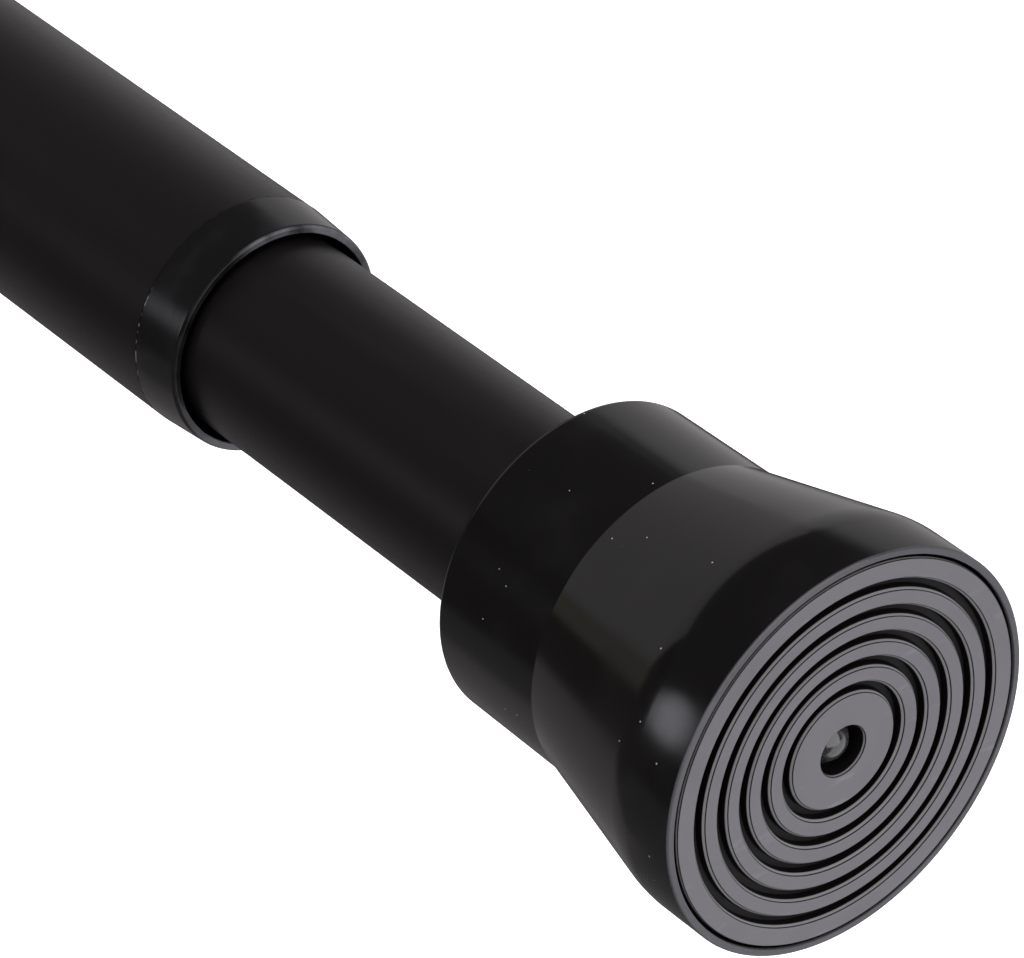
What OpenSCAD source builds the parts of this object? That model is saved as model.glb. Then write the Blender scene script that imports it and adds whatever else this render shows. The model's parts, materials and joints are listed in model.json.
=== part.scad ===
// Telescopic doorway bar. The bar lies along X with its far foot's wall face at the origin,
// and the inner tube and the near foot leave the outer tube towards +X.

/* [Tubes] */
// Length of outer tube that shows between the far foot and the collar
outer_visible = 520; // [360:5:900]
// Length of inner tube that shows between the collar and the near foot, as stored
exposed = 60; // [20:1:120]
// Outside diameter of the outer tube
outer_d = 32; // [26:0.5:42]
// Wall of the outer tube
outer_wall = 1.2; // [0.8:0.1:1.6]
// Radial gap between the two tubes, which the collar and the glide ring fill
tube_gap = 1.3; // [1:0.1:2]
// Wall of the inner tube
inner_wall = 1.2; // [0.8:0.1:1.6]

/* [Collar] */
// Length of the tapered collar in front of the outer tube
collar_len = 7.5; // [5:0.5:14]
// How much smaller the collar's radius is at its front
collar_taper = 0.6; // [0.2:0.1:1]
// Length of the collar's sleeve inside the outer tube
collar_sleeve_len = 20; // [12:1:35]
// Depth of the flared mouth at the collar's front
mouth_depth = 3; // [1:0.5:4]
// Width of the collar's flat front rim
rim_w = 0.75; // [0.4:0.05:1]

/* [Feet] */
// Diameter of a foot at its wall face
face_d = 52; // [43:0.5:70]
// Length of a foot from its wall face to the back of its neck
foot_len = 47.5; // [38:0.5:60]
// Length of a foot's straight neck
neck_len = 14.5; // [10:0.5:18]
// Wall of the neck around the outer tube's end
neck_wall = 4.6; // [3:0.1:7]
// Depth of the shallow waist between the neck and the flare
waist_depth = 0.35; // [0.1:0.05:0.6]
// Width of the lip around the pad
lip_w = 1.28; // [1:0.02:2]
// How far the lip stands behind the wall face
lip_back = 0.3; // [0.1:0.1:0.6]

/* [Pads] */
// Thickness of a rubber pad at its rim
pad_t = 4.2; // [3:0.1:6]
// Radius of the plain disc at the pad's middle
disc_r = 7.36; // [6:0.02:9]
// Radius of the hole in the pad
pad_hole_r = 3.25; // [3.1:0.05:5]
// Number of ring grooves
groove_n = 5; // [3:1:6]
// Width of a ring groove
groove_w = 1.75; // [1.2:0.05:2.2]
// Depth of a ring groove
groove_depth = 1.3; // [0.6:0.1:2]
// Width of the outermost ridge
rim_ridge_w = 2.3; // [1.5:0.1:3]
// How far the pad's middle is dished below its rim
dish_depth = 0.7; // [0.2:0.1:1]

/* [Pivots] */
// Radius of the domed pin that a foot turns on
pin_r = 2.5; // [2:0.1:3.2]
// Radius of the pin's domed head
pin_head_r = 2.9; // [2.6:0.1:4]
// Thickness of the web that the pin passes through
web_t = 4; // [3:0.5:6]
// Thickness of the nylon washer between a tube's plug and its foot
thrust_t = 1.2; // [0.8:0.1:2]
// Length of a plug inside its tube
plug_len = 22; // [16:1:30]

/* [Screw and lock] */
// Lead of the closing screw, for one turn
lead = 4; // [3:0.5:5]
// Travel of the closing screw
feed_travel = 30; // [16:1:50]
// Depth of the screw's thread
thread_depth = 1.25; // [0.8:0.05:1.6]
// Length of the hexagonal drive nut
drive_nut_len = 20; // [14:1:30]
// Length of the split grip sleeve
sleeve_len = 38; // [28:1:60]
// Width of the slots in the grip sleeve
slot_w = 2.4; // [1.5:0.1:4]

/* [Clearances] */
// Radial clearance of a tube in its foot
socket_gap = 0.25; // [0.1:0.05:0.4]
// Radial clearance of the inner tube in the collar
slide_gap = 0.2; // [0.1:0.05:0.3]
// Radial clearance of a foot's web on its pin
pivot_gap = 0.08; // [0.02:0.01:0.1]
// Clearance of pieces that are pressed or riveted together
fit = 0.05; // [0.02:0.01:0.1]
// Clearance between the faces of pieces that turn against each other
face_gap = 0.1; // [0.05:0.05:0.3]
// Clearance between the screw's thread and the nut's
thread_gap = 0.2; // [0.15:0.05:0.35]

/* [Hidden] */
$fn = 96;

// Tubes
outer_r = outer_d / 2;
outer_bore_r = outer_r - outer_wall;
inner_r = outer_bore_r - tube_gap;
inner_bore_r = inner_r - inner_wall;
guide_r = inner_r + slide_gap;

// Stations inside a foot, measured back from its wall face
washer_t = 1.2;
washer_play = 0.5;
washer_r = 5.6;
washer_room = 0.3;
washer_s = pad_t + washer_play;
web_s = washer_s + washer_t + face_gap;
thrust_s = web_s + web_t + face_gap;
plug_s = thrust_s + thrust_t + face_gap;
plug_flange_t = 3;
tube_end_s = plug_s + plug_flange_t;
rivet_r = 1.5;
rivet_inset = 3;
rivet_n = 3;
rivet_depth = 4.5;
thrust_inset = 0.5;
plug_floor = 5;
plug_wall = 1.8;
plug_boss_wall = 3;
pin_end_s = tube_end_s + plug_len - plug_floor - 1;
pin_dome_h = 1.5;
pin_tip_s = dish_depth + 0.6;

// Foot outline
face_r = face_d / 2;
neck_r = outer_r + socket_gap + neck_wall;
neck_draft = 0.2;
waist_r = neck_r - waist_depth;
waist_len = 1.6;
lip_round = 1.2;
back_round = 0.8;
shoulder_s = 7;
shoulder_round = 14;
waist_round = 8;
hub_wall = 3;
shell_wall = 3.4;
seat_r = face_r - lip_w;
arc_steps = 8;

// Pad
pad_gap = 0.1;
pad_r = seat_r - pad_gap;
pad_edge = 0.2;
groove_pitch = (pad_r - rim_ridge_w - groove_w - disc_r) / (groove_n - 1);
dish_r = disc_r + 0.8 * (groove_n - 1) * groove_pitch;

// Places along the bar
collar_x = foot_len + outer_visible;
collar_front_x = collar_x + collar_len;
near_back_x = collar_front_x + exposed;
total_len = near_back_x + foot_len;
stored_gap = 3;
tail_gap = 2;
close_travel = exposed - stored_gap;
tail_x = tube_end_s + plug_len + close_travel + tail_gap;
tail_len = 1;
end_nut_x = tail_x + tail_len;
end_nut_len = 7;
end_washer_x = end_nut_x + end_nut_len;
end_washer_t = 2;
springs_x = end_washer_x + end_washer_t;
spring_n = 4;
spring_t = 0.8;
spring_pitch = 1.5;
sleeve_x = springs_x + spring_n * spring_pitch;
sleeve_ring = 9;
cone_inset = 1;
cone_flange_gap = 2;
cone_x = sleeve_x + sleeve_ring + cone_inset;
cone_flange_x = sleeve_x + sleeve_len + cone_flange_gap;
cone_flange_t = 8;
spindle_x = cone_flange_x + cone_flange_t;
carrier_gap = 4;
carrier_x = spindle_x + carrier_gap;
carrier_flange_t = 3;
carrier_wall_t = 4;
nut_inset = 2;
nut_x = carrier_x + nut_inset;
carrier_len = nut_inset + drive_nut_len + carrier_wall_t;
carrier_rivet_s = carrier_len - carrier_wall_t / 2;
inner_rear_x = carrier_x + carrier_flange_t;
inner_front_x = total_len - tube_end_s;
inner_len = inner_front_x - inner_rear_x;
ring_len = 8;

// Screw and lock
carrier_wall = 1.25;
nut_wall = 2.3;
carrier_r = inner_bore_r - fit;
nut_corner_r = carrier_r - carrier_wall;
crest_r = nut_corner_r * cos(30) - nut_wall - thread_gap;
root_r = crest_r - thread_depth;
rivet_foot_r = crest_r + 1.2;
spindle_wall = 1.5;
spindle_bore_r = root_r - spindle_wall;
bolt_r = spindle_bore_r * cos(15) - fit;
thread_spare = 0.4;
thread_len = carrier_gap + carrier_len + feed_travel + thread_spare;
bolt_head_x = spindle_x + thread_len + end_washer_t + 2 * fit;
bolt_head_len = 5;
bolt_hex_r = bolt_r * 1.75;
end_nut_r = bolt_r * 1.9;
bore_gap = 0.2;
sleeve_r = outer_bore_r - bore_gap;
sleeve_front_wall = 2;
sleeve_rear_wall = 5.5;
cone_big_r = sleeve_r - sleeve_front_wall;
cone_small_r = sleeve_r - sleeve_rear_wall;
cone_gap = 0.1;
drag_r = 0.95;
drag_seat_r = sleeve_r - drag_r + 0.1;
rib_pitch = 4;
rib_w = 1.2;
rib_depth = 0.35;

// Turns a piece drawn along Z so that it lies along X from the given place
module along_x(x = 0) translate([x, 0, 0]) rotate([0, 90, 0]) children();

// Turns a piece drawn from its wall face inwards so that it lies in the near foot
module at_near_end() translate([total_len, 0, 0]) rotate([0, -90, 0]) children();

module ring(r_out, r_in, h) {
    difference() {
        cylinder(r = r_out, h = h);
        translate([0, 0, -1]) cylinder(r = r_in, h = h + 2);
    }
}

// Points of an arc, from one angle to another
function arc(centre, r, from, to) = [
    for (i = [0 : arc_steps])
        let (a = from + (to - from) * i / arc_steps)
        centre + r * [cos(a), sin(a)]
];

// ---- Feet ----

// Angle of the flare's straight stretch, which touches the shoulder's arc and the waist's arc
flare_end_s = foot_len - neck_len - waist_len;
flare_step = [waist_r + waist_round - face_r + shoulder_round, flare_end_s - shoulder_s];
flare_angle = atan2(flare_step[1], flare_step[0])
    - acos((shoulder_round + waist_round) / norm(flare_step));

// Outline of a foot as radius and distance from the wall face
foot_outline = concat(
    [[0, lip_back]],
    arc([face_r - lip_round, lip_back + lip_round], lip_round, -90, 0),
    arc([face_r - shoulder_round, shoulder_s], shoulder_round, 0, flare_angle),
    arc([waist_r + waist_round, flare_end_s], waist_round, 180 + flare_angle, 180),
    [[waist_r, flare_end_s + waist_len - 2 * waist_depth]],
    [[neck_r, flare_end_s + waist_len]],
    arc([neck_r - neck_draft - back_round, foot_len - back_round], back_round, 0, 90),
    [[0, foot_len]]
);

// One-piece moulded foot: a bell outside, and inside it a hub for the tube and a web for the pin
module foot_cup(tube_r) {
    socket_r = tube_r + socket_gap;
    hub_r = socket_r + hub_wall;
    shell_r = face_r - shell_wall;
    core_len = (shell_r - hub_r - 1) / tan(flare_angle);
    difference() {
        rotate_extrude() polygon(foot_outline);
        translate([0, 0, -1]) cylinder(r = seat_r, h = pad_t + 1);
        translate([0, 0, web_s + web_t]) cylinder(r = socket_r, h = foot_len);
        cylinder(r = pin_r + pivot_gap, h = foot_len);
        cylinder(r = washer_r + washer_room, h = web_s);
        if (shell_r > hub_r + 1.5)
            translate([0, 0, pad_t - 0.5]) rotate_extrude()
                polygon([[hub_r, 0], [shell_r, 0], [hub_r + 1, core_len], [hub_r, core_len]]);
    }
}

function dish(r) = dish_depth * max(0, min(1, (dish_r - r) / (dish_r - disc_r)));
function groove_r(i) = disc_r + i * groove_pitch;

// Profile across one groove: down its inner side, along its narrower floor and up to the next ridge
function groove_points(i) =
    let (a = groove_r(i), b = a + groove_w, floor_s = dish(a) + groove_depth)
    [[a, dish(a)], [a + 0.2 * groove_w, floor_s], [b - 0.2 * groove_w, floor_s], [b, dish(b)]];

// Rubber pad with ring grooves, slightly dished towards its middle
module foot_pad() {
    rotate_extrude() polygon(concat(
        [[pad_hole_r, pad_t], [pad_hole_r, dish_depth]],
        [for (i = [0 : groove_n - 1]) each groove_points(i)],
        [[pad_r - pad_edge, 0], [pad_r, pad_edge], [pad_r, pad_t]]
    ));
}

// Pin with a domed head, pressed into a tube's plug, that the foot turns on
module pivot_pin() {
    dome_r = (pin_head_r * pin_head_r + pin_dome_h * pin_dome_h) / (2 * pin_dome_h);
    half = asin(pin_head_r / dome_r);
    rotate_extrude() polygon(concat(
        [[0, pin_tip_s]],
        [for (i = [1 : arc_steps]) let (a = half * i / arc_steps)
            [dome_r * sin(a), pin_tip_s + dome_r * (1 - cos(a))]],
        [[pin_head_r, washer_s - fit], [pin_r, washer_s - fit]],
        [[pin_r, pin_end_s], [0, pin_end_s]]
    ));
}

module pin_washer() translate([0, 0, washer_s]) ring(washer_r, pin_r + fit, washer_t);

module thrust_washer(tube_r) translate([0, 0, thrust_s]) ring(tube_r - thrust_inset, pin_r + fit, thrust_t);

// Places one rivet or rivet hole at each of its angles round a tube
module round_rivets(s, from_r, to_r, r) {
    for (i = [0 : rivet_n - 1])
        rotate([0, 0, i * 360 / rivet_n]) translate([from_r, 0, s]) rotate([0, 90, 0])
            cylinder(r = r, h = to_r - from_r, $fn = 48);
}

// Plug that closes a tube's end, holds the pivot pin and is hollow behind it
module tube_plug(tube_r, bore_r) {
    insert_r = bore_r - fit;
    boss_r = pin_r + plug_boss_wall;
    pocket_s = tube_end_s + 2 * rivet_inset + 1;
    difference() {
        union() {
            translate([0, 0, plug_s]) cylinder(r = tube_r, h = plug_flange_t);
            translate([0, 0, plug_s]) cylinder(r = insert_r, h = plug_flange_t + plug_len);
        }
        cylinder(r = pin_r + fit, h = tube_end_s + plug_len - plug_floor);
        translate([0, 0, pocket_s]) ring(insert_r - plug_wall, boss_r, plug_len);
        round_rivets(tube_end_s + rivet_inset, insert_r - rivet_depth, tube_r, rivet_r + fit);
    }
}

module plug_rivets(tube_r, bore_r) {
    insert_r = bore_r - fit;
    round_rivets(tube_end_s + rivet_inset, insert_r - rivet_depth + fit, tube_r - fit, rivet_r);
}

// ---- Outer bar ----

module outer_tube() {
    color("#1d1b1c") difference() {
        along_x(tube_end_s) ring(outer_r, outer_bore_r, collar_x - tube_end_s);
        along_x() round_rivets(tube_end_s + rivet_inset, inner_bore_r, outer_r + 1, rivet_r + fit);
    }
}

// Collar with a sleeve inside the outer tube, a tapered ring in front and a flared mouth
module collar() {
    front_r = outer_r - collar_taper;
    color("#131315") along_x(collar_x) rotate_extrude() polygon([
        [guide_r, -collar_sleeve_len],
        [outer_bore_r - fit, -collar_sleeve_len],
        [outer_bore_r - fit, 0],
        [outer_r, 0],
        [front_r + 0.1, collar_len - 0.4],
        [front_r - 0.2, collar_len],
        [front_r - 0.2 - rim_w, collar_len],
        [guide_r, collar_len - mouth_depth]
    ]);
}

// ---- Lock and screw ----

module tie_bolt() {
    color("#b9bcc0") {
        along_x(tail_x) cylinder(r = bolt_r, h = bolt_head_x - tail_x);
        along_x(bolt_head_x) cylinder(r = bolt_hex_r, h = bolt_head_len, $fn = 6);
    }
}

module end_nut() {
    color("#b9bcc0") along_x(end_nut_x) difference() {
        cylinder(r = end_nut_r, h = end_nut_len - fit, $fn = 6);
        translate([0, 0, -1]) cylinder(r = bolt_r + fit, h = end_nut_len + 2);
    }
}

module end_washer() {
    color("#b9bcc0") along_x(end_washer_x) ring(cone_small_r + 1, bolt_r + fit, end_washer_t - fit);
}

// Disc springs that keep the sleeve pushed against the cone, alternately facing each way
module disc_springs() {
    rise = spring_pitch - spring_t - fit;
    r_in = bolt_r + 0.3;
    r_out = cone_small_r;
    for (i = [0 : spring_n - 1]) {
        in_z = i % 2 == 0 ? 0 : rise;
        out_z = rise - in_z;
        color("#8d9096") along_x(springs_x + i * spring_pitch) rotate_extrude() polygon([
            [r_in, in_z], [r_out, out_z], [r_out, out_z + spring_t], [r_in, in_z + spring_t]
        ]);
    }
}

// Taper shared by the wedge cone and the sleeve's bore, widened by the given gap
module taper(gap) {
    rotate_extrude() polygon([
        [0, cone_x],
        [cone_small_r + gap, cone_x],
        [cone_big_r + gap, sleeve_x + sleeve_len],
        [cone_big_r + gap, cone_flange_x],
        [0, cone_flange_x]
    ]);
}

// Split sleeve that the cone spreads against the outer tube's bore
module grip_sleeve() {
    rib_n = floor((sleeve_len - sleeve_ring - rib_pitch) / rib_pitch);
    color("#d9d4c4") difference() {
        along_x(sleeve_x) ring(sleeve_r, bolt_r + 0.4, sleeve_len);
        along_x() taper(cone_gap);
        for (a = [0, 90])
            rotate([a, 0, 0]) translate([sleeve_x + sleeve_ring, -slot_w / 2, -sleeve_r - 1])
                cube([sleeve_len, slot_w, 2 * sleeve_r + 2]);
        for (i = [1 : rib_n])
            along_x(sleeve_x + sleeve_ring + i * rib_pitch)
                ring(sleeve_r + 1, sleeve_r - rib_depth, rib_w);
        along_x(sleeve_x + sleeve_ring / 2) rotate_extrude()
            translate([drag_seat_r, 0]) square([2 * drag_r + 2, 2 * drag_r + 0.2], center = true);
    }
}

module drag_ring() {
    color("#202020") along_x(sleeve_x + sleeve_ring / 2) rotate_extrude()
        translate([drag_seat_r, 0]) circle(r = drag_r, $fn = 32);
}

module wedge_cone() {
    hex_depth = cone_flange_t;
    color("#9a9da2") difference() {
        union() {
            along_x() taper(0);
            along_x(cone_flange_x) cylinder(r = sleeve_r - 0.6, h = cone_flange_t - fit);
        }
        along_x(cone_x - 1) cylinder(r = bolt_r + fit, h = total_len);
        along_x(spindle_x - hex_depth) cylinder(r = crest_r + 0.1, h = hex_depth + 1, $fn = 6);
    }
}

// Right-hand screw thread, as rings of points that climb one lead in each turn.
// Each turn has four rows: two at the root and two at the crest.
module screw_thread(length, root, crest, widen) {
    seg = 24;
    flank = lead / 5;
    root_w = (lead - 2 * flank) / 2 - widen;
    turns = ceil(length / lead) + 2;
    rows = 4 * turns;
    row_z = [0, root_w, root_w + flank, lead - flank];
    function row_r(j) = j % 4 < 2 ? root : crest;
    function spot(j, i) = let (a = 360 * i / seg, z = lead * (floor(j / 4) - 1 + i / seg))
        [row_r(j) * cos(a), row_r(j) * sin(a), z + row_z[j % 4] + widen / 2];
    function id(j, i) = i < seg ? j * seg + i : (j + 4) * seg;
    low = (rows + 5) * seg;
    intersection() {
        polyhedron(
            points = concat(
                [for (j = [0 : rows + 4], i = [0 : seg - 1]) spot(j, i)],
                [[0, 0, -lead], [0, 0, lead * (turns - 1)]]
            ),
            faces = concat(
                [for (j = [0 : rows - 1], i = [0 : seg - 1]) each [
                    [id(j, i), id(j + 1, i), id(j + 1, i + 1)],
                    [id(j, i), id(j + 1, i + 1), id(j, i + 1)]
                ]],
                [for (i = [0 : seg - 1]) [low, id(0, i), id(0, i + 1)]],
                [[low, id(4, 0), id(3, 0), id(2, 0), id(1, 0), id(0, 0)]],
                [for (i = [0 : seg - 1]) [low + 1, id(rows, i + 1), id(rows, i)]],
                [[low + 1, id(rows, 0), id(rows + 1, 0), id(rows + 2, 0), id(rows + 3, 0),
                    id(rows + 4, 0)]]
            )
        );
        cylinder(r = crest + 2, h = length, $fn = 12);
    }
}

// Hollow screw with a hexagonal end that keeps it from turning in the cone
module spindle() {
    hex_len = cone_flange_t - 0.3;
    color("#a7a9ad") along_x(spindle_x) difference() {
        union() {
            screw_thread(thread_len, root_r, crest_r, 0);
            translate([0, 0, -hex_len]) cylinder(r = crest_r, h = hex_len, $fn = 6);
        }
        translate([0, 0, -hex_len - 1])
            cylinder(r = spindle_bore_r, h = thread_len + hex_len + 2, $fn = 12);
    }
}

module stop_washer() {
    color("#b9bcc0") along_x(spindle_x + thread_len + fit)
        ring(inner_bore_r - 1.5, bolt_r + fit, end_washer_t);
}

// ---- Inner bar ----

module inner_tube() {
    color("#1d1b1c") difference() {
        along_x(inner_rear_x) ring(inner_r, inner_bore_r, inner_len);
        along_x() round_rivets(carrier_x + carrier_rivet_s, root_r, inner_r + 1, rivet_r + fit);
        at_near_end()
            round_rivets(tube_end_s + rivet_inset, root_r, inner_r + 1, rivet_r + fit);
    }
}

// Plug in the inner tube's rear end, with a hexagonal pocket for the drive nut
module nut_carrier() {
    color("#26262a") along_x(carrier_x) difference() {
        union() {
            cylinder(r = outer_bore_r - 2 * bore_gap, h = carrier_flange_t - fit);
            cylinder(r = carrier_r, h = carrier_len);
        }
        translate([0, 0, -1]) cylinder(r = crest_r + 0.6, h = carrier_len + 2);
        translate([0, 0, -1])
            cylinder(r = nut_corner_r + fit, h = nut_x - carrier_x + drive_nut_len + fit + 1, $fn = 6);
        round_rivets(carrier_rivet_s, rivet_foot_r, carrier_r + 1, rivet_r + fit);
    }
}

module carrier_rivets() {
    color("#a7a9ad") along_x(carrier_x)
        round_rivets(carrier_rivet_s, rivet_foot_r + fit, inner_r - fit, rivet_r);
}

module drive_nut() {
    color("#b08d4a") along_x(nut_x) difference() {
        cylinder(r = nut_corner_r, h = drive_nut_len, $fn = 6);
        translate([0, 0, -(nut_x - spindle_x) % lead - lead])
            screw_thread(drive_nut_len + 3 * lead, root_r + thread_gap, crest_r + thread_gap,
                2 * thread_gap);
    }
}

module glide_ring() {
    color("#e8e6de") along_x(inner_rear_x) ring(outer_bore_r - bore_gap, inner_r + fit, ring_len);
}

// ---- Pieces that both ends share ----

module far_cup() color("#141416") along_x() foot_cup(outer_r);
module near_cup() color("#141416") at_near_end() foot_cup(inner_r);
module far_pad() color("#2b292c") along_x() foot_pad();
module near_pad() color("#2b292c") at_near_end() foot_pad();
module far_plug() color("#26262a") along_x() tube_plug(outer_r, outer_bore_r);
module near_plug() color("#26262a") at_near_end() tube_plug(inner_r, inner_bore_r);
module far_plug_rivets() color("#a7a9ad") along_x() plug_rivets(outer_r, outer_bore_r);
module near_plug_rivets() color("#a7a9ad") at_near_end() plug_rivets(inner_r, inner_bore_r);
module far_pivot_pin() color("#2a2a2c") along_x() pivot_pin();
module near_pivot_pin() color("#2a2a2c") at_near_end() pivot_pin();
module far_pin_washer() color("#b9bcc0") along_x() pin_washer();
module near_pin_washer() color("#b9bcc0") at_near_end() pin_washer();
module far_thrust_washer() color("#e8e6de") along_x() thrust_washer(outer_r);
module near_thrust_washer() color("#e8e6de") at_near_end() thrust_washer(inner_r);

far_cup();
far_pad();
outer_tube();
collar();
far_plug();
far_plug_rivets();
far_pivot_pin();
far_pin_washer();
far_thrust_washer();
tie_bolt();
end_nut();
end_washer();
disc_springs();
grip_sleeve();
drag_ring();
wedge_cone();
spindle();
stop_washer();
inner_tube();
nut_carrier();
carrier_rivets();
drive_nut();
glide_ring();
near_plug();
near_plug_rivets();
near_pivot_pin();
near_pin_washer();
near_thrust_washer();
near_cup();
near_pad();
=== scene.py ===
import json

import bpy
import numpy as np
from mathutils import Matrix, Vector


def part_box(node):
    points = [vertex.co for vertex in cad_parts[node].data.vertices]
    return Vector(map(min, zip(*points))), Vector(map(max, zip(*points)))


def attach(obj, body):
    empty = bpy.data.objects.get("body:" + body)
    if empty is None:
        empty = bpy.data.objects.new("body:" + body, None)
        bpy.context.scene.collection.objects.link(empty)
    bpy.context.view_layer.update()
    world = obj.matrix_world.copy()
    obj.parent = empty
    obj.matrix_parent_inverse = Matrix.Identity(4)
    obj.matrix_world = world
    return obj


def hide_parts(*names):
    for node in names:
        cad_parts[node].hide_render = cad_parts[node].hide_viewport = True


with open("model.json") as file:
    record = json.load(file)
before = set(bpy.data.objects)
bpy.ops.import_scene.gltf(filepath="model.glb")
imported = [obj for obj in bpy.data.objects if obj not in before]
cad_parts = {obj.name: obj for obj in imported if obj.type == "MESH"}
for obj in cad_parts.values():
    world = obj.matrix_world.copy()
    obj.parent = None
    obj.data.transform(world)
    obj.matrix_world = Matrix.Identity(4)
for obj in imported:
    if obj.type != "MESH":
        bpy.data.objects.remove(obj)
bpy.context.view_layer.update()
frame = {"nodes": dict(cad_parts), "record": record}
nodes = frame["nodes"]
mm = 0.001
print("frame loaded")

# Places that come from the frame: distances along the bar, and radii
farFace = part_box("far_pad")[0].x
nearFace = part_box("near_pad")[1].x
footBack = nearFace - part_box("near_cup")[0].x
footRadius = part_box("near_cup")[1].z
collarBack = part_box("outer_tube")[1].x
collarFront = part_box("collar")[1].x
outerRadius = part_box("outer_tube")[1].z
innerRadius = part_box("inner_tube")[1].z


# Mesh from points and faces of three or four corners, shaded smooth
def meshOf(name, points, quads, triangles):
    mesh = bpy.data.meshes.new(name)
    corners = np.concatenate([quads.ravel(), triangles.ravel()]).astype(np.int32)
    sizes = np.concatenate([np.full(len(quads), 4), np.full(len(triangles), 3)])
    starts = np.concatenate([[0], np.cumsum(sizes)[:-1]]).astype(np.int32)
    mesh.vertices.add(len(points))
    mesh.vertices.foreach_set("co", np.ascontiguousarray(points, np.float32).ravel())
    mesh.loops.add(len(corners))
    mesh.loops.foreach_set("vertex_index", corners)
    mesh.polygons.add(len(sizes))
    mesh.polygons.foreach_set("loop_start", starts)
    mesh.update(calc_edges=True)
    mesh.validate()
    mesh.shade_smooth()
    piece = bpy.data.objects.new(name, mesh)
    bpy.context.scene.collection.objects.link(piece)
    return piece


# Closed outline with an arc in each corner (x, r, radius): the arc's centre lies on the corner's bisector at
# radius / sin(half the corner's angle), and the arc turns from one side's touching point to the other's.
# One more point on each side, a guard's width off, keeps the flat stretches evenly shaded.
def roundCorners(corners, steps, guard=0.04 * mm):
    rows = np.array(corners, float) * mm
    place, radius = rows[:, :2], rows[:, 2:]
    before = np.roll(place, 1, 0) - place
    after = np.roll(place, -1, 0) - place
    before /= np.linalg.norm(before, axis=1, keepdims=True)
    after /= np.linalg.norm(after, axis=1, keepdims=True)
    half = np.arccos(np.clip((before * after).sum(1, keepdims=True), -1, 1)) / 2
    middle = before + after
    middle /= np.linalg.norm(middle, axis=1, keepdims=True)
    centre = place + middle * radius / np.sin(half)
    first = place + before * radius / np.tan(half)
    last = place + after * radius / np.tan(half)
    start = np.arctan2(*(first - centre).T[::-1])
    turn = (np.arctan2(*(last - centre).T[::-1]) - start + np.pi) % (2 * np.pi) - np.pi
    angle = start[:, None] + turn[:, None] * np.linspace(0, 1, steps)
    arc = centre[:, None] + radius[:, None] * np.stack([np.cos(angle), np.sin(angle)], -1)
    parts = [(first + before * guard)[:, None], arc, (last + after * guard)[:, None]]
    return np.concatenate(parts, 1).reshape(-1, 2)


# Same outline with no step longer than the given length: each long side is cut into equal shares
def cutFine(outline, longest):
    ends = np.roll(outline, -1, 0)
    shares = np.ceil(np.linalg.norm(ends - outline, axis=1) / longest).astype(int)
    shares = np.maximum(shares, 1)
    index = np.repeat(np.arange(len(outline)), shares)
    share = (np.arange(len(index)) - np.repeat(np.cumsum(shares) - shares, shares)) / shares[index]
    return outline[index] + (ends - outline)[index] * share[:, None]


# Outline carried round the X axis: its point (x, r) becomes (x, q cos a, q sin a) at each angle a, with
# q = r + relief(x, r, a). A ring's outline is closed; any other starts and ends on the axis, in fans.
def turned(name, outline, sides, ring=True, relief=None):
    x, r = outline.T
    if (x * np.roll(r, -1) - np.roll(x, -1) * r).sum() < 0:  # the faces have to point outwards
        outline = outline[::-1]
        x, r = outline.T
    if not ring:
        x, r = x[1:-1], r[1:-1]
    angle = np.linspace(0, 2 * np.pi, sides, endpoint=False)
    gridX, gridAngle = np.meshgrid(x, angle, indexing="ij")
    gridRadius = np.repeat(r[:, None], sides, 1)
    if relief is not None:
        gridRadius = gridRadius + relief(gridX, gridRadius, gridAngle)
    points = np.stack([gridX, gridRadius * np.cos(gridAngle), gridRadius * np.sin(gridAngle)], -1)
    points = points.reshape(-1, 3)
    index = np.arange(len(points)).reshape(-1, sides)
    below = np.roll(index, -1, 0) if ring else index[1:]
    here = index if ring else index[:-1]
    quads = np.stack([here, below, np.roll(below, -1, 1), np.roll(here, -1, 1)], -1).reshape(-1, 4)
    triangles = np.zeros((0, 3), int)
    if not ring:
        tips = len(points) + np.array([0, 1])
        points = np.concatenate([points, [[outline[0][0], 0, 0], [outline[-1][0], 0, 0]]])
        firstFan = np.stack([np.full(sides, tips[0]), index[0], np.roll(index[0], -1)], -1)
        lastFan = np.stack([np.full(sides, tips[1]), np.roll(index[-1], -1), index[-1]], -1)
        triangles = np.concatenate([firstFan, lastFan])
    return meshOf(name, points, quads, triangles)


# A foot's wall face and the way from it into the foot
def footPlace(near):
    return (nearFace, -1) if near else (farFace, 1)


# Puts an outline drawn from a foot's wall face, in distance and radius, at the near or the far end
def atFoot(outline, near):
    face, way = footPlace(near)
    return np.stack([face + way * outline[:, 0], outline[:, 1]], -1)


# Gives a piece its finish and the body it moves with, and hides the nodes that it stands in for; its slot is
# not used
def settle(piece, body, slot, material, *replaced):
    piece.data.materials.append(material)
    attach(piece, body)
    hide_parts(*replaced)


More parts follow.
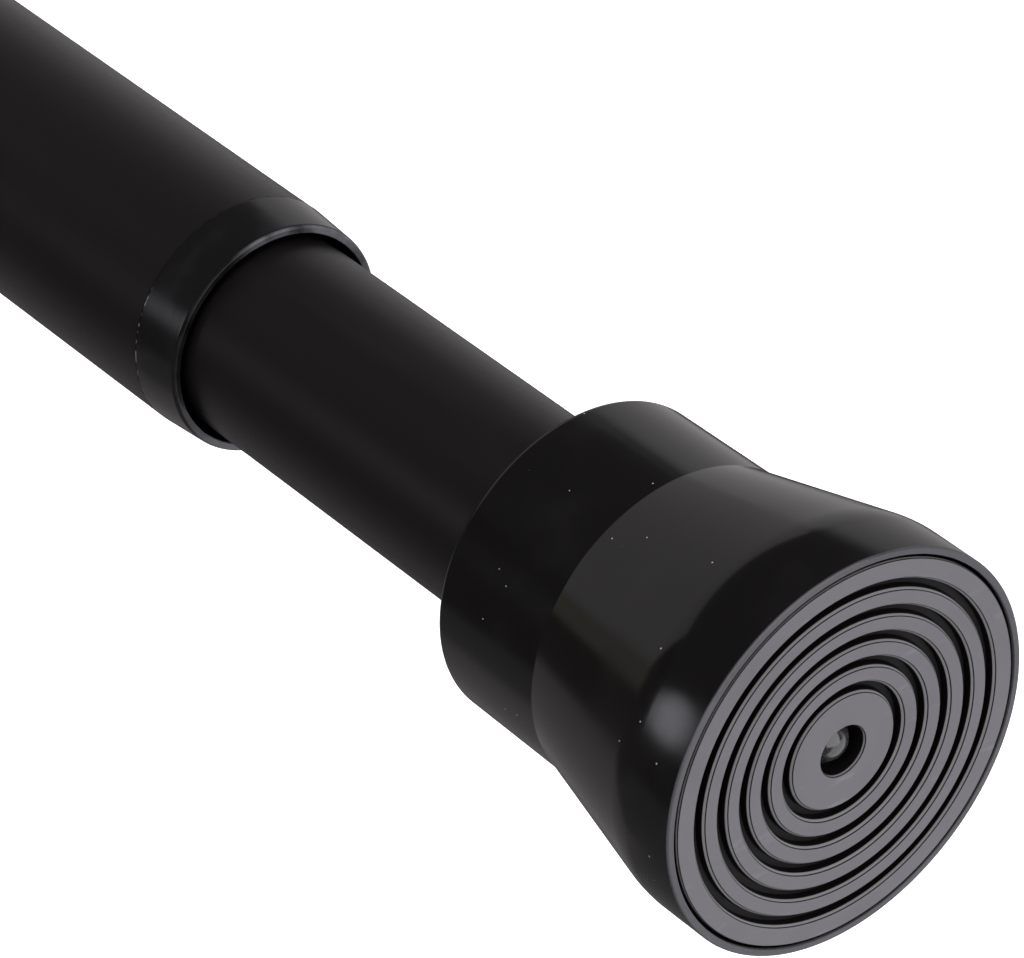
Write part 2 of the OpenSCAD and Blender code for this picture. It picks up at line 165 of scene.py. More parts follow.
# One socket of a material. Python's operators on it add the Math nodes that work them out.
class Wire:
    def __init__(self, tree, socket=None):
        self.tree = tree
        self.socket = socket

    # Any node: its settings are set first, then the values or wires of its sockets
    def node(self, kind, settings=None, output=0, **sockets):
        made = self.tree.nodes.new("ShaderNode" + kind)
        for setting, value in (settings or {}).items():
            setattr(made, setting, value)
        for socket, value in sockets.items():
            join(self.tree, made.inputs[socketName(socket)], value)
        return Wire(self.tree, made.outputs[output])

    def maths(self, operation, first, second=0.0):
        return self.node("Math", {"operation": operation}, s0=first, s1=second)

    def __add__(self, other):
        return self.maths("ADD", self, other)

    __radd__ = __add__

    def __sub__(self, other):
        return self.maths("SUBTRACT", self, other)

    def __rsub__(self, other):
        return self.maths("SUBTRACT", other, self)

    def __mul__(self, other):
        return self.maths("MULTIPLY", self, other)

    __rmul__ = __mul__

    def __truediv__(self, other):
        return self.maths("DIVIDE", self, other)

    def __rtruediv__(self, other):
        return self.maths("DIVIDE", other, self)

    def __pow__(self, other):
        return self.maths("POWER", self, other)

    def __rpow__(self, other):
        return self.maths("POWER", other, self)

    def __abs__(self):
        return self.maths("ABSOLUTE", self)


# Sockets are named as keywords: From_Min is From Min, and s6 is the one with index 6
def socketName(word):
    if word[0] == "s" and word[1:].isdigit():
        return int(word[1:])
    return word.replace("_", " ")


def join(tree, target, value):
    if isinstance(value, Wire):
        tree.links.new(value.socket, target)
    else:
        target.default_value = value


# Rises smoothly from 0 to 1 while the value goes from low to high, or falls if low is above high
def rise(value, low, high):
    smooth = {"interpolation_type": "SMOOTHSTEP"}
    return value.node("MapRange", smooth, Value=value, From_Min=low, From_Max=high)


# One coordinate of a place
def along(place, axis):
    return place.node("SeparateXYZ", None, axis, Vector=place)


# Noise whose lumps are about the given size in metres, stretched along the axes by the given factors
def lumps(place, size, detail=2.0, stretch=(1, 1, 1)):
    spot = place.node("VectorMath", {"operation": "MULTIPLY"}, s0=place, s1=[s / size for s in stretch])
    return place.node("TexNoise", Vector=spot, Scale=1.0, Detail=detail)


# The same noise cut into patches: 0 below the low level and 1 above the high one
def patches(place, size, detail, low, high, stretch=(1, 1, 1)):
    return rise(lumps(place, size, detail, stretch), low, high)


# Round specks of about the given size, one in some of the cells of the given spacing
def specks(place, spacing, size, share):
    cells = {"voronoi_dimensions": "3D", "feature": "F1"}
    near = place.node("TexVoronoi", cells, Vector=place, Scale=1 / spacing)
    pick = place.node("TexVoronoi", cells, "Color", Vector=place, Scale=1 / spacing)
    chance = place.node("SeparateColor", Color=pick)
    return rise(near, size / spacing, 0.6 * size / spacing) * rise(chance, share, 0.9 * share)


def blend(mask, base, top):
    return mask.node("Mix", {"data_type": "RGBA"}, 2, s0=mask, s6=base, s7=top)


def colour(values):
    return (*values, 1.0)


# A finish's material, the wire that reads a place on its piece, and its shader with the steady numbers set
def newFinish(name, steady):
    material = bpy.data.materials.new(name)
    material.use_nodes = True
    shader = material.node_tree.nodes["Principled BSDF"]
    for socket, value in steady.items():
        shader.inputs[socket].default_value = value
    sheet = Wire(material.node_tree)
    return material, sheet.node("TexCoord", None, "Object"), shader


# Joins what varies over the surface: the base colour, the roughness and the height of its fine relief
def dress(place, shader, base, roughness, height, depth):
    join(place.tree, shader.inputs["Base Color"], base)
    join(place.tree, shader.inputs["Roughness"], roughness)
    bump = place.node("Bump", None, 0, Height=height, Distance=depth, Strength=1.0)
    join(place.tree, shader.inputs["Normal"], bump)


# In each finish, patches are size, detail, low level, high level and stretch, and dust is spacing, size and
# share. A fade gives where a mark ends and where it is full. What ends in Rough is added to the roughness.
tubePaint = {
    "paint": (0.0036, 0.003, 0.003), "rubbed": (0.0062, 0.0056, 0.0055), "speck": (0.09, 0.085, 0.08),
    "gloss": 0.25, "roughness": 0.36, "rubbedRough": 0.05, "peelRough": 0.06, "dustRough": 0.2,
    "rubbedPatches": (9 * mm, 3.0, 0.5, 0.75, (0.12, 1, 1)), "rubbedShare": 0.6,
    "peelSize": 0.9 * mm, "peelDepth": 0.004 * mm, "dust": (7 * mm, 0.09 * mm, 0.5),
}


# Satin powder coat: a fine orange peel, faint rubbing along the tube and a little dust
def paintFinish(s):
    material, place, shader = newFinish("tubePaint", {"Specular IOR Level": s["gloss"]})
    rubbing = patches(place, *s["rubbedPatches"])
    peel = lumps(place, s["peelSize"])
    dust = specks(place, *s["dust"])
    base = blend(rubbing * s["rubbedShare"], colour(s["paint"]), colour(s["rubbed"]))
    base = blend(dust, base, colour(s["speck"]))
    roughness = s["roughness"] + s["rubbedRough"] * rubbing + s["peelRough"] * (peel - 0.5)
    dress(place, shader, base, roughness + s["dustRough"] * dust, peel, s["peelDepth"])
    return material


cupPlastic = {
    "black": (0.0018, 0.0016, 0.0016), "haze": (0.0034, 0.0031, 0.0031), "speck": (0.25, 0.24, 0.23),
    "gloss": 0.5, "roughness": 0.13, "hazeRough": 0.07, "fineRough": 0.05, "dustRough": 0.3,
    "flowSize": 11 * mm, "flowDepth": 0.03 * mm, "crown": 8.0 * mm, "crownTilt": 0.13,
    "hazePatches": (14 * mm, 3.0, 0.45, 0.7), "hazeShare": 0.7, "fineSize": 0.5 * mm,
    "dust": (2.3 * mm, 0.13 * mm, 0.35),
    # The lip colour is a painted reflection along the lip, made patchy by rubbing
    "lip": (0.055, 0.053, 0.058), "lipFade": (0.4 * mm, 0.1 * mm), "lipShare": 0.6, "lipWear": 0.4,
}


# Glossy moulded plastic: slow flow waves, patches of handling haze, sparse pale dust and a pale lip, which
# is a painted reflection along the wall face's edge made patchy by rubbing. The last stretch before the wall
# is
# shaded as if crowned: with u the distance past the crown's start, the height falls by tilt * u * u / (2 *
# crown).
def cupFinish(s):
    material, place, shader = newFinish("cupPlastic", {"Specular IOR Level": s["gloss"]})
    flow = lumps(place, s["flowSize"], 1.0)
    x = along(place, "X")
    fromWall = place.maths("MINIMUM", nearFace - x, x - farFace)
    past = place.maths("MAXIMUM", s["crown"] - fromWall, 0.0)
    crowned = flow * s["flowDepth"] - past * past * (s["crownTilt"] / (2 * s["crown"]))
    haze = patches(place, *s["hazePatches"])
    fine = lumps(place, s["fineSize"])
    dust = specks(place, *s["dust"])
    # Painted reflection on the lip, patchy with rubbing
    lip = rise(fromWall, *s["lipFade"]) * (s["lipShare"] + s["lipWear"] * (haze + fine))
    base = blend(haze * s["hazeShare"], colour(s["black"]), colour(s["haze"]))
    base = blend(dust, base, colour(s["speck"]))
    base = blend(lip, base, colour(s["lip"]))
    roughness = s["roughness"] + s["hazeRough"] * haze + s["fineRough"] * (fine - 0.5)
    dress(place, shader, base, roughness + s["dustRough"] * dust, crowned, 1.0)
    return material


# Sides and heights are places across and up the bar, as shares of the outer tube's radius
collarPlastic = {
    "black": (0.0028, 0.0026, 0.0028), "worn": (0.008, 0.008, 0.0096), "chip": (0.11, 0.1, 0.09),
    # The rim colour is a painted highlight
    "seam": (0.0012, 0.0009, 0.0007), "rim": (0.085, 0.084, 0.094),
    "gloss": 0.42, "roughness": 0.17, "strokeRough": 0.16, "wornRough": 0.06, "chipRough": 0.3,
    "strokes": (5 * mm, 3.0, (22, 1, 1)), "strokeDepth": 0.004 * mm,
    "wornPatches": (9 * mm, 2.0, 0.45, 0.65), "seamFade": (0.4 * mm, 0.2 * mm),
    "chipLine": 0.12 * mm, "chipFade": (0.2 * mm, 0.05 * mm), "chipSide": (-0.75, -0.95),
    "chipPatches": (1.1 * mm, 5.0, 0.46, 0.6),
    "rimFade": (-0.4 * mm, -0.1 * mm), "rimPatches": (5 * mm, 3.0, 0.3, 0.6),
    # Side, height and share of the painted shade, where the rim's painted highlight is mostly left off
    "rimShadeSide": (-0.1, -0.45), "rimShadeHeight": (-0.75, -0.4), "rimShadeShare": 0.92,
}


# Glossy collar with fine strokes round it, a painted highlight in patches on its front rim that is mostly
# left off on one side as painted shade, and a dark seam behind, with pale chips along one side
def collarFinish(s):
    material, place, shader = newFinish("collarPlastic", {"Specular IOR Level": s["gloss"]})
    x = along(place, "X")
    y = along(place, "Y") / outerRadius
    z = along(place, "Z") / outerRadius
    strokes = lumps(place, *s["strokes"])
    worn = patches(place, *s["wornPatches"])
    seam = rise(abs(x - collarBack), *s["seamFade"])
    chips = rise(abs(x - collarBack - s["chipLine"]), *s["chipFade"]) * rise(y, *s["chipSide"])
    chips = chips * patches(place, *s["chipPatches"])
    # Painted shade: the side where the rim's painted highlight is mostly left off
    rimShade = rise(y, *s["rimShadeSide"]) * rise(z, *s["rimShadeHeight"])
    # Painted highlight on the front rim, in patches
    rim = rise(x - collarFront, *s["rimFade"]) * patches(place, *s["rimPatches"])
    rim = rim * (1 - s["rimShadeShare"] * rimShade)
    base = blend(worn * strokes, colour(s["black"]), colour(s["worn"]))
    base = blend(seam, base, colour(s["seam"]))
    base = blend(rim, base, colour(s["rim"]))
    base = blend(chips, base, colour(s["chip"]))
    roughness = s["roughness"] + s["strokeRough"] * (strokes - 0.5) * worn + s["wornRough"] * worn
    dress(place, shader, base, roughness + s["chipRough"] * chips, strokes, s["strokeDepth"])
    return material


# The depths are measured below the ring tops
padRubber = {
    # The groove colour is painted shade, the dark line's colour is painted shade and the shoulder colour is
    # a painted highlight
    "grooveShade": (0.0035, 0.003, 0.0028), "bloom": (0.123, 0.118, 0.13), "scuff": (0.182, 0.178, 0.196),
    "shadeLine": (0.004, 0.0035, 0.0035), "shoulderHighlight": (0.18, 0.175, 0.18),
    "gloss": 0.22, "roughness": 0.34, "cloudRough": 0.12, "grainRough": 0.1, "scuffRough": 0.05,
    "deepRough": 0.25, "grainSize": 0.35 * mm, "grainDepth": 0.006 * mm,
    "topDepth": 0.05 * mm, "shoulderTop": 0.15 * mm, "shoulderFoot": 0.4 * mm,
    "scuffPatches": (2.6 * mm, 5.0, 0.6, 0.75, (1, 0.35, 1.6)), "scuffShare": 0.5,
    "cloudSize": 6 * mm, "driftSize": 20 * mm, "wearShare": 0.7, "wearChange": 0.3,
}


# Rubber, bloomed grey on the flat tops of its rings with scuffs across them; painted shade makes the grooves
# black, a painted highlight lightens the ring shoulders, and a painted shade line lies between the tops and
# the shoulders
def padFinish(s, name, faceX, inward, dish):
    material, place, shader = newFinish(name, {"Specular IOR Level": s["gloss"]})
    y, z = along(place, "Y"), along(place, "Z")
    radius = (y * y + z * z) ** 0.5
    sunk = place.node("MapRange", Value=radius, From_Min=dish["outer"], From_Max=dish["inner"])
    below = (along(place, "X") - faceX) * inward - sunk * dish["depth"]
    top = rise(below, s["topDepth"], 0.3 * s["topDepth"])
    # Painted shade line just below the edge of the tops
    intoLine = rise(below, 0.5 * s["topDepth"], s["topDepth"])
    shadeLine = intoLine * rise(below, s["shoulderTop"], 0.75 * s["shoulderTop"])
    # Painted highlight on the sloping shoulders of the rings
    intoShoulder = rise(below, 0.75 * s["shoulderTop"], s["shoulderTop"])
    shoulder = intoShoulder * rise(below, s["shoulderFoot"], 0.8 * s["shoulderFoot"])
    # The grooves below the shoulders, which carry the painted shade; here they raise the roughness
    grooveShade = rise(below, s["shoulderTop"], s["shoulderFoot"])
    grain = lumps(place, s["grainSize"], 3.0)
    cloud = lumps(place, s["cloudSize"], 3.0)
    scuffs = patches(place, *s["scuffPatches"])
    # Patchy strength of the bloom and of the shoulders' painted highlight
    wear = s["wearShare"] + s["wearChange"] * (cloud + lumps(place, s["driftSize"], 1.0))
    bloom = blend(s["scuffShare"] * scuffs, colour(s["bloom"]), colour(s["scuff"]))
    # Painted shade colours the grooves below the grey tops
    base = blend(top * wear, colour(s["grooveShade"]), bloom)
    # Painted highlight on the shoulders
    base = blend(shoulder * wear, base, colour(s["shoulderHighlight"]))
    # Painted shade line between the tops and the shoulders
    base = blend(shadeLine, base, colour(s["shadeLine"]))
    roughness = s["roughness"] + s["cloudRough"] * (cloud - 0.5) + s["grainRough"] * (grain - 0.5)
    roughness = roughness + s["scuffRough"] * scuffs + s["deepRough"] * grooveShade
    dress(place, shader, base, roughness, grain, s["grainDepth"])
    return material


plain = {
    "markLevels": (0.3, 0.7), "markShare": 0.7, "markRough": 0.1, "wornRough": 0.08,
    "wornLevels": (0.45, 0.7), "wornSize": 2.5, "grainSize": 0.4 * mm, "depth": 0.004 * mm,
}


# Moulded or machined finish of a small piece: two tones in lumps, drawn marks and a matching roughness
def plainFinish(name, low, high, roughness, metal=0.0, size=4 * mm, stretch=(1, 1, 1), gloss=0.5):
    s = plain
    material, place, shader = newFinish(name, {"Metallic": metal, "Specular IOR Level": gloss})
    marks = lumps(place, size, 4.0, stretch)
    worn = patches(place, s["wornSize"] * size, 3.0, *s["wornLevels"])
    base = blend(rise(marks, *s["markLevels"]), colour(low), colour(high))
    roughness = roughness + s["markRough"] * (marks - 0.5) + s["wornRough"] * worn
    height = s["markShare"] * marks + (1 - s["markShare"]) * lumps(place, s["grainSize"])
    dress(place, shader, base, roughness, height, s["depth"])
    return material


lathe = {"size": 3 * mm, "stretch": (14, 1, 1)}  # marks that run round a turned piece
finishes = {
    "black_tube": paintFinish(tubePaint),
    "cup_plastic": cupFinish(cupPlastic),
    "collar_plastic": collarFinish(collarPlastic),
    "plug_plastic": plainFinish("plugPlastic", (0.016, 0.016, 0.017), (0.024, 0.024, 0.026), 0.5),
    "pin_black": plainFinish("pinBlack", (0.03, 0.03, 0.031), (0.05, 0.05, 0.052), 0.13, gloss=1.0),
    "zinc_steel": plainFinish("zincSteel", (0.52, 0.53, 0.55), (0.68, 0.68, 0.69), 0.32, 1.0, 1.5 * mm),
    "bright_steel": plainFinish("brightSteel", (0.42, 0.42, 0.43), (0.58, 0.58, 0.59), 0.26, 1.0, **lathe),
    "spring_steel": plainFinish("springSteel", (0.2, 0.22, 0.27), (0.33, 0.34, 0.36), 0.3, 1.0, 2 * mm),
    "nylon": plainFinish("nylon", (0.7, 0.68, 0.61), (0.82, 0.8, 0.75), 0.45),
    "sleeve_plastic": plainFinish("sleevePlastic", (0.58, 0.55, 0.46), (0.7, 0.67, 0.58), 0.4),
    "ring_rubber": plainFinish("ringRubber", (0.014, 0.014, 0.014), (0.026, 0.026, 0.026), 0.6),
    "nut_brass": plainFinish("nutBrass", (0.6, 0.43, 0.19), (0.78, 0.6, 0.31), 0.28, 1.0, **lathe),
}
slotOf = {row["node"]: row["material_slot"] for row in frame["record"]["subparts"]}
print("finishes made")

# Distances from the wall face and radii, in millimetres, apart from lengths that are already times mm. What
# ends in Round is the radius of a corner's arc, which has the given number of steps.
cup = {
    "seat": 24.72, "seatRound": 0.2, "bevel": (0.9, 25.1), "bevelRound": 0.15,
    "lipBack": 0.03, "lipInnerRound": 0.12, "lipRound": 0.3, "shoulder": 8.75, "shoulderRound": 14,
    "waist": 30.3, "waistRound": 0.8, "neck": 20.98, "neckDraft": 0.2, "overhang": 0.6, "backRound": 0.8,
    "socketGap": 0.25, "socketRound": 0.35, "web": (6.0, 10.0), "webRound": 0.3,
    "pinHole": 2.58, "holeRound": 0.1, "washerPocket": 5.9, "pocketRound": 0.2, "seatFloor": 4.2,
    "coreWall": 3.0, "coreRound": 0.3, "coreStart": 3.7, "coreEnd": 1.0, "coreSlope": 0.254,
    "shellWall": 22.6, "shellDraft": 0.13, "steps": 9, "sides": 288, "longest": 1.1 * mm,
}
sinkMarks = {
    "count": 3, "back": 36.5, "shift": 1.3, "angle": 113, "turn": 6, "length": 3.4, "width": 0.9,
    "depth": 0.05, "outside": 19.5,
}


# Shallow sink marks side by side on the outside of a neck: each lowers the surface by
# depth * exp(-(behind / length)^2 - (around / width)^2)
def neckSinks(face, way):
    s = sinkMarks

    def relief(x, r, a):
        low = np.zeros_like(x)
        for k in range(s["count"]):
            centre = np.radians(s["angle"] + s["turn"] * k)
            around = (np.mod(a - centre + np.pi, 2 * np.pi) - np.pi) * cup["neck"]
            behind = (x - face) * way / mm - s["back"] - s["shift"] * k
            low += np.exp(-((behind / s["length"]) ** 2) - (around / s["width"]) ** 2)
        return -s["depth"] * mm * low * (r > s["outside"] * mm)

    return relief


# A foot: lip, shoulder, flare and neck outside; tube socket, pin web, core and pad seat inside. The core is
# the hollow between the hub and the shell, which narrows at the slope until the end's width is left.
def makeCup(name, body, node, tubeRadius, near):
    s = cup
    socket = tubeRadius / mm + s["socketGap"]
    hub = socket + s["coreWall"]
    core = s["coreStart"] + (s["shellWall"] - hub - s["coreEnd"]) / s["coreSlope"]
    back = footBack / mm + s["overhang"]
    face = footRadius / mm
    webFront, webBack = s["web"]
    bevelBack, bevelOuter = s["bevel"]
    corners = [
        (bevelBack, s["seat"], s["bevelRound"]), (s["lipBack"], bevelOuter, s["lipInnerRound"]),
        (s["lipBack"], face, s["lipRound"]), (s["shoulder"], face, s["shoulderRound"]),
        (s["waist"], s["neck"], s["waistRound"]), (back, s["neck"] - s["neckDraft"], s["backRound"]),
        (back, socket, s["socketRound"]), (webBack, socket, s["webRound"]),
        (webBack, s["pinHole"], s["holeRound"]), (webFront, s["pinHole"], s["holeRound"]),
        (webFront, s["washerPocket"], s["pocketRound"]),
        (s["seatFloor"], s["washerPocket"], s["pocketRound"]), (s["seatFloor"], hub, s["coreRound"]),
        (core, hub, s["coreRound"]), (core, hub + s["coreEnd"], s["coreRound"]),
        (s["seatFloor"], s["shellWall"] - s["shellDraft"], s["coreRound"]),
        (s["seatFloor"], s["seat"], s["seatRound"]),
    ]
    outline = cutFine(roundCorners(corners, s["steps"]), s["longest"])
    piece = turned(name, atFoot(outline, near), s["sides"], relief=neckSinks(*footPlace(near)))
    settle(piece, body, "cup_plastic", finishes["cup_plastic"], node)


# The dish is deepest round the disc and runs out at a share of the way to the last groove
pad = {
    "thick": 4.2, "radius": 24.62, "rimRound": 0.22, "backRound": 0.1, "hole": 3.25, "holeRound": 0.25,
    "disc": 7.36, "dish": 0.7, "dishShare": 0.8, "rimRidge": 2.3,
    "grooves": 5, "grooveWidth": 1.75, "grooveDepth": 1.3, "edgeRound": 0.06, "floorRound": 0.15,
    "shoulder": (0.42, 0.34), "shoulderRound": 0.12, "wall": 0.42,
    "steps": 6, "sides": 288, "longest": 0.8 * mm, "guard": 0.02 * mm,
}
lastGroove = pad["radius"] - pad["rimRidge"] - pad["grooveWidth"]
pitch = (lastGroove - pad["disc"]) / (pad["grooves"] - 1)
dishOuter = pad["disc"] + pad["dishShare"] * (pad["grooves"] - 1) * pitch


# Depth of the dished face: it falls evenly from none at the dish's outer radius to all at the disc's edge
def dishAt(radius):
    return pad["dish"] * np.clip((dishOuter - radius) / (dishOuter - pad["disc"]), 0, 1)


# A ringed pad: plain disc with a hole, then ridges with sloping shoulders between steep grooves, at the
# dish's depth
def makePad(name, body, node, near):
    s = pad
    down, across = s["shoulder"]
    corners = [(s["thick"], s["hole"], s["backRound"]), (s["dish"], s["hole"], s["holeRound"])]
    for k in range(s["grooves"]):
        inner = s["disc"] + k * pitch
        outer = inner + s["grooveWidth"]
        floor = dishAt(inner) + s["grooveDepth"]
        corners += [
            (dishAt(inner), inner, s["edgeRound"]),
            (dishAt(inner) + down, inner + across, s["shoulderRound"]),
            (floor, inner + s["wall"], s["floorRound"]), (floor, outer - s["wall"], s["floorRound"]),
            (dishAt(outer) + down, outer - across, s["shoulderRound"]),
            (dishAt(outer), outer, s["edgeRound"]),
        ]
    corners += [(0, s["radius"], s["rimRound"]), (s["thick"], s["radius"], s["backRound"])]
    outline = cutFine(roundCorners(corners, s["steps"], s["guard"]), s["longest"])
    piece = turned(name, atFoot(outline, near), s["sides"])
    dish = {"outer": dishOuter * mm, "inner": s["disc"] * mm, "depth": s["dish"] * mm}
    material = padFinish(padRubber, name + "Rubber", *footPlace(near), dish)
    settle(piece, body, "pad_rubber", material, node)


pin = {
    "head": 2.9, "tip": 1.3, "dome": 2.5, "headBack": 4.65, "shank": 2.5, "end": 30.4,
    "steps": 24, "sides": 96,
}


# A pivot pin: a dome whose radius follows a circle's arc, a short rim and a straight shank
def makePin(name, body, node, near):
    s = pin
    bend = (s["head"] ** 2 + s["dome"] ** 2) / (2 * s["dome"])
    angle = np.linspace(0, np.arcsin(s["head"] / bend), s["steps"])
    dome = np.stack([s["tip"] + bend * (1 - np.cos(angle)), bend * np.sin(angle)], -1)
    rest = [(s["headBack"], s["head"]), (s["headBack"], s["shank"]), (s["end"], s["shank"]), (s["end"], 0)]
    outline = np.concatenate([dome, rest]) * mm
    piece = turned(name, atFoot(outline, near), s["sides"], ring=False)
    settle(piece, body, "pin_black", finishes["pin_black"], node)


makeCup("nearCup", "near_foot", "near_cup", innerRadius, True)
makeCup("farCup", "far_foot", "far_cup", outerRadius, False)
makePad("nearPad", "near_foot", "near_pad", True)
makePad("farPad", "far_foot", "far_pad", False)
makePin("nearPin", "inner_bar", "near_pivot_pin", True)
makePin("farPin", "outer_bar", "far_pivot_pin", False)
print("feet made")

# Distances are from the outer tube's end, in millimetres, apart from lengths that are already times mm
collar = {
    "guide": 13.7, "sleeve": 20, "sleeveRadius": 14.75, "sleeveRound": 0.2, "stepRound": 0.1,
    "backRound": 0.16, "length": 7.5, "front": 15.4, "bevel": 0.4, "bevelOut": 0.1, "bevelRound": 0.35,
    "rimDrop": 0.2, "rimRound": 0.15, "rim": 0.75, "edgeRound": 0.12, "mouth": 3.0, "mouthRound": 0.5,
    "nickDepth": 0.06 * mm, "nickLength": 0.25 * mm, "nickWidth": 0.18 * mm, "nickLevel": 0.55,
    "steps": 7, "sides": 320, "longest": 1.2 * mm,
}


# The collar: sleeve inside the outer tube, tapered ring in front of it and a flared mouth. Nicks move the
# mouth's edge out by depth * (wave - level) wherever a wave, the product of two sines plus that of two more,
# passes the level. They fade as exp(-square) of the distance from the edge along the bar and across it.
def makeCollar():
    s = collar
    rimOuter = s["front"] - s["rimDrop"]
    rimInner = rimOuter - s["rim"]
    corners = [
        (-s["sleeve"], s["guide"], s["sleeveRound"]), (-s["sleeve"], s["sleeveRadius"], s["sleeveRound"]),
        (0, s["sleeveRadius"], s["stepRound"]), (0, outerRadius / mm, s["backRound"]),
        (s["length"] - s["bevel"], s["front"] + s["bevelOut"], s["bevelRound"]),
        (s["length"], rimOuter, s["rimRound"]), (s["length"], rimInner, s["edgeRound"]),
        (s["length"] - s["mouth"], s["guide"], s["mouthRound"]),
    ]
    outline = cutFine(roundCorners(corners, s["steps"]), s["longest"])
    outline[:, 0] += collarBack

    def nicks(x, r, a):
        wave = np.sin(11 * a + 1.3) * np.sin(29 * a + 0.4) + 0.6 * np.sin(53 * a) * np.sin(7 * a + 2.1)
        lengthwise = ((x - collarFront) / s["nickLength"]) ** 2
        crosswise = ((r - rimInner * mm) / s["nickWidth"]) ** 2
        return s["nickDepth"] * np.exp(-lengthwise - crosswise) * np.clip(wave - s["nickLevel"], 0, 1)

    piece = turned("tubeCollar", outline, s["sides"], relief=nicks)
    settle(piece, "outer_bar", "collar_plastic", finishes["collar_plastic"], "collar")


makeCollar()
for name, node in nodes.items():
    finish = finishes.get(slotOf[name])
    if finish is not None:
        for slot in node.material_slots:
            slot.material = finish
print("collar made and tubes painted")

studio = {
    "floorDrop": 0.3, "floorRadius": 9.0, "floorSides": 96, "floorColour": (0.86, 0.86, 0.86),
    "floorGlow": 0.55, "surroundRadius": 6.0, "surroundSteps": 49, "surroundSides": 96,
    "surroundBase": (0.056, 0.05, 0.05), "worldLight": 0.5,
}


# Unit vector of a direction: azimuth 0 is towards -Y and 90 towards +X, and elevation is above the level
def heading(azimuth, elevation):
    a, e = np.radians(azimuth), np.radians(elevation)
    return Vector((np.sin(a) * np.cos(e), -np.cos(a) * np.cos(e), np.sin(e)))


# 1 for the rays whose view of the background has to be white, and 0 for the light that falls on the object
def seenRays(sheet):
    camera = sheet.node("LightPath", None, "Is Camera Ray")
    glossy = sheet.node("LightPath", None, "Is Glossy Ray")
    through = sheet.node("LightPath", None, "Is Transmission Ray")
    return camera.maths("MINIMUM", camera + glossy + through, 1.0)


# A pale disc below the bar, which takes a soft shadow: a disc's points are radius * (cos a, sin a)
def makeFloor(s):
    sides = s["floorSides"]
    angle = np.linspace(0, 2 * np.pi, sides, endpoint=False)
    rim = np.stack([s["floorRadius"] * np.cos(angle), s["floorRadius"] * np.sin(angle), 0 * angle], -1)
    points = np.concatenate([rim, [[0, 0, 0]]]) + [0, 0, -s["floorDrop"]]
    index = np.arange(sides)
    fan = np.stack([index, np.roll(index, -1), np.full(sides, sides)], -1)
    floor = meshOf("studioFloor", points, np.zeros((0, 4), int), fan)
    steady = {
        "Base Color": colour(s["floorColour"]), "Roughness": 0.9, "Specular IOR Level": 0.0,
        "Emission Strength": s["floorGlow"],
    }
    material, place, shader = newFinish("floorPaper", steady)
    join(place.tree, shader.inputs["Emission Color"], blend(seenRays(place), (0, 0, 0, 1), (1, 1, 1, 1)))
    floor.data.materials.append(material)
    floor.visible_glossy = False  # the gloss mirrors the cards in its stead


# Cards and lamps that the gloss mirrors, as seen from the near foot: each is a rectangle or a round across
# its heading, with its half width, half height and soft edge in degrees
cards = {
    "ceiling": {"at": (-100, 75), "half": (60, 38), "soft": 8, "light": (0.096, 0.088, 0.089)},
    "ground": {"at": (-100, -75), "half": (62, 38), "soft": 10, "light": (0.15, 0.145, 0.145)},
    "lowWall": {"at": (-84, -36), "half": (20, 15), "soft": 7, "light": (0.25, 0.232, 0.236)},
    "backWall": {"at": (-170, 5), "half": (48, 30), "soft": 16, "light": (0.56, 0.54, 0.55)},
    "window": {"at": (-94, 22), "half": (31, 16), "soft": 2, "light": (0.42, 0.4, 0.41)},
    "windowBar": {"at": (-66, 3), "half": (6, 4), "soft": 2, "light": (0.26, 0.26, 0.215)},
    "sideLamp": {"at": (-31, 10.5), "half": (5.2, 10), "soft": 4, "light": (2.8, 2.75, 3.0), "round": True},
    "table": {"at": (128, -38), "half": (36, 30), "soft": 8, "light": (1.0, 0.98, 1.08)},
    "frontBox": {"at": (95, 12), "half": (32, 28), "soft": 4, "light": (1.8, 1.77, 1.8)},
}


# Where a card shows: the tangents of the angles beside and above its heading, each divided by that of its
# half size, fade it out as they pass 1. On a round one the root of the sum of their squares does that.
def cardMask(place, card):
    ahead = heading(*card["at"])
    side = Vector((-ahead.y, ahead.x, 0)).normalized()
    top = ahead.cross(side)
    near, across, above = [
        place.node("VectorMath", {"operation": "DOT_PRODUCT"}, "Value", s0=place, s1=axis)
        for axis in (ahead, side, top)
    ]
    halves = [np.tan(np.radians(half)) for half in card["half"]]
    ratios = [abs(offset / near) / half for offset, half in zip((across, above), halves)]
    if card.get("round"):
        ratios = [(ratios[0] ** 2.0 + ratios[1] ** 2.0) ** 0.5]
    mask = rise(near, 0.0, 0.01)  # nothing behind the viewer
    for ratio, half in zip(ratios, halves):
        soft = np.tan(np.radians(card["soft"])) / half / 2
        mask = mask * rise(ratio, 1 + soft, 1 - soft)
    return mask


# A shell round the near foot that only the gloss sees: its outline is the half circle of points
# radius * (-cos a, sin a)
def makeSurround(s):
    angle = np.linspace(0, np.pi, s["surroundSteps"])
    radius = s["surroundRadius"]
    outline = np.stack([nearFace - radius * np.cos(angle), radius * np.sin(angle)], -1)
    shell = turned("mirroredSurround", outline, s["surroundSides"], ring=False)
    material = bpy.data.materials.new("surroundCards")
    material.use_nodes = True
    tree = material.node_tree
    tree.nodes.clear()
    place = Wire(tree).node("TexCoord", None, "Object")
    place = place.node("VectorMath", {"operation": "SUBTRACT"}, s0=place, s1=(nearFace, 0, 0))
    light = colour(s["surroundBase"])
    for card in cards.values():
        light = blend(cardMask(place, card), light, colour(card["light"]))
    glow = place.node("Emission", Color=light, Strength=1.0)
    output = tree.nodes.new("ShaderNodeOutputMaterial")
    join(tree, output.inputs["Surface"], glow)
    material.cycles.emission_sampling = "NONE"
    shell.data.materials.append(material)
    shell.visible_camera = False
    shell.visible_diffuse = False
    shell.visible_shadow = False


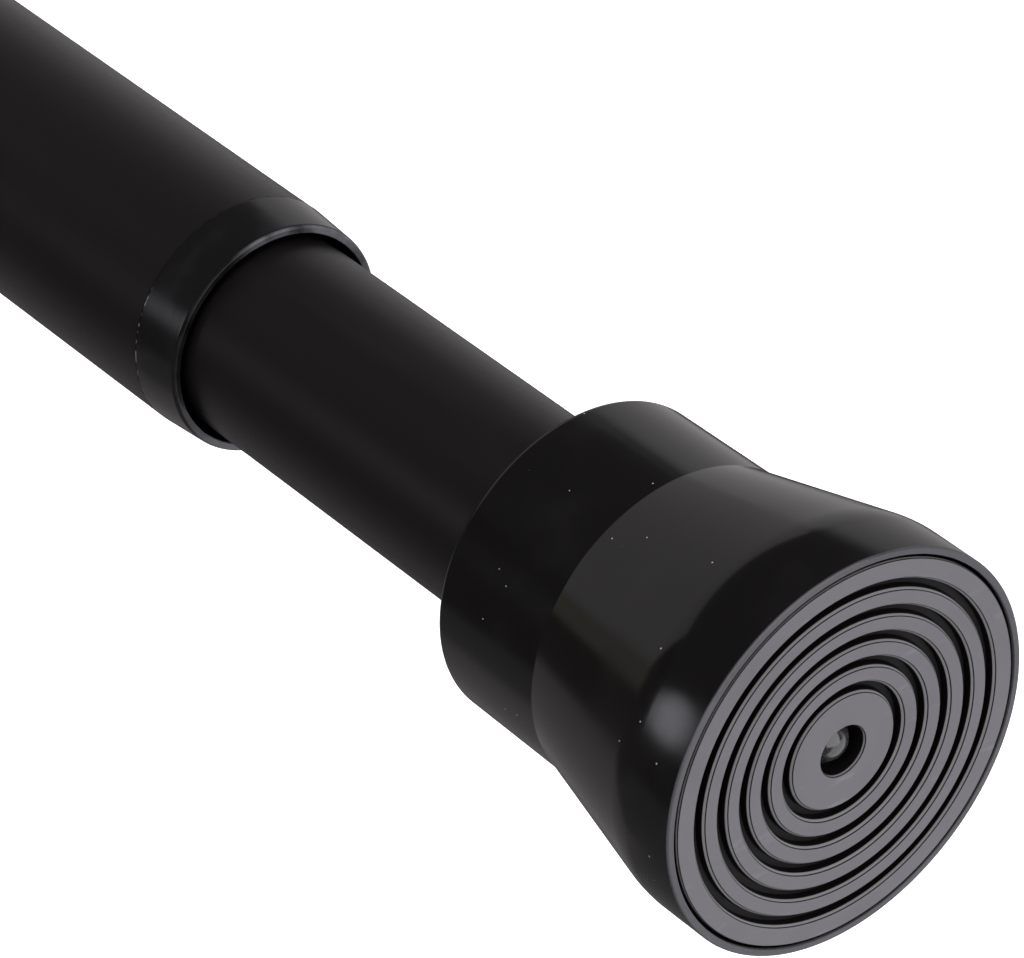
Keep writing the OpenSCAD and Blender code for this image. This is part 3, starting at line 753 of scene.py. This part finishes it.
lamps = {
    "keyLamp": {"at": (10, 56), "away": 2.2, "size": 1.7, "power": 75},
    "fillLamp": {"at": (120, 20), "away": 3.0, "size": 2.2, "power": 45},
}


# Two square lamps turned to the bar's middle, for the diffuse light only
def makeLamps():
    middle = Vector(((farFace + nearFace) / 2, 0, 0))
    for name, row in lamps.items():
        light = bpy.data.lights.new(name, "AREA")
        light.shape = "SQUARE"
        light.size = row["size"]
        light.energy = row["power"]
        lamp = bpy.data.objects.new(name, light)
        bpy.context.scene.collection.objects.link(lamp)
        lamp.location = middle + heading(*row["at"]) * row["away"]
        lamp.rotation_euler = (middle - lamp.location).to_track_quat("-Z", "Y").to_euler()
        lamp.visible_glossy = False


# White for the rays that see it, and dimmer as a light
def makeWorld(s):
    world = bpy.data.worlds.new("studioWorld")
    bpy.context.scene.world = world
    world.use_nodes = True
    background = world.node_tree.nodes["Background"]
    background.inputs["Color"].default_value = (1, 1, 1, 1)
    sheet = Wire(world.node_tree)
    strength = s["worldLight"] + (1 - s["worldLight"]) * seenRays(sheet)
    join(sheet.tree, background.inputs["Strength"], strength)


# Angles in degrees, distances in metres, lens and sensor in millimetres
viewpoint = {
    "azimuth": 51.75, "elevation": 34.6, "away": 0.65055, "aside": -0.03743, "above": 0.03072,
    "lens": 205.07, "sensor": 36,
}


# Looks at a point beside the near foot's wall face, so that the foot fills the lower right of the picture
def makeCamera(s):
    back = heading(s["azimuth"], s["elevation"])
    right = Vector((-back.y, back.x, 0)).normalized()
    up = back.cross(right)
    aim = Vector((nearFace, 0, 0)) + right * s["aside"] + up * s["above"]
    data = bpy.data.cameras.new("viewCamera")
    data.sensor_width = s["sensor"]
    data.lens = s["lens"]
    camera = bpy.data.objects.new("viewCamera", data)
    bpy.context.scene.collection.objects.link(camera)
    camera.location = aim + back * s["away"]
    camera.rotation_euler = back.to_track_quat("Z", "Y").to_euler()
    bpy.context.scene.camera = camera


makeCamera(viewpoint)
makeFloor(studio)
makeSurround(studio)
makeLamps()
makeWorld(studio)
bpy.context.scene.view_settings.view_transform = "Standard"
print("studio made")
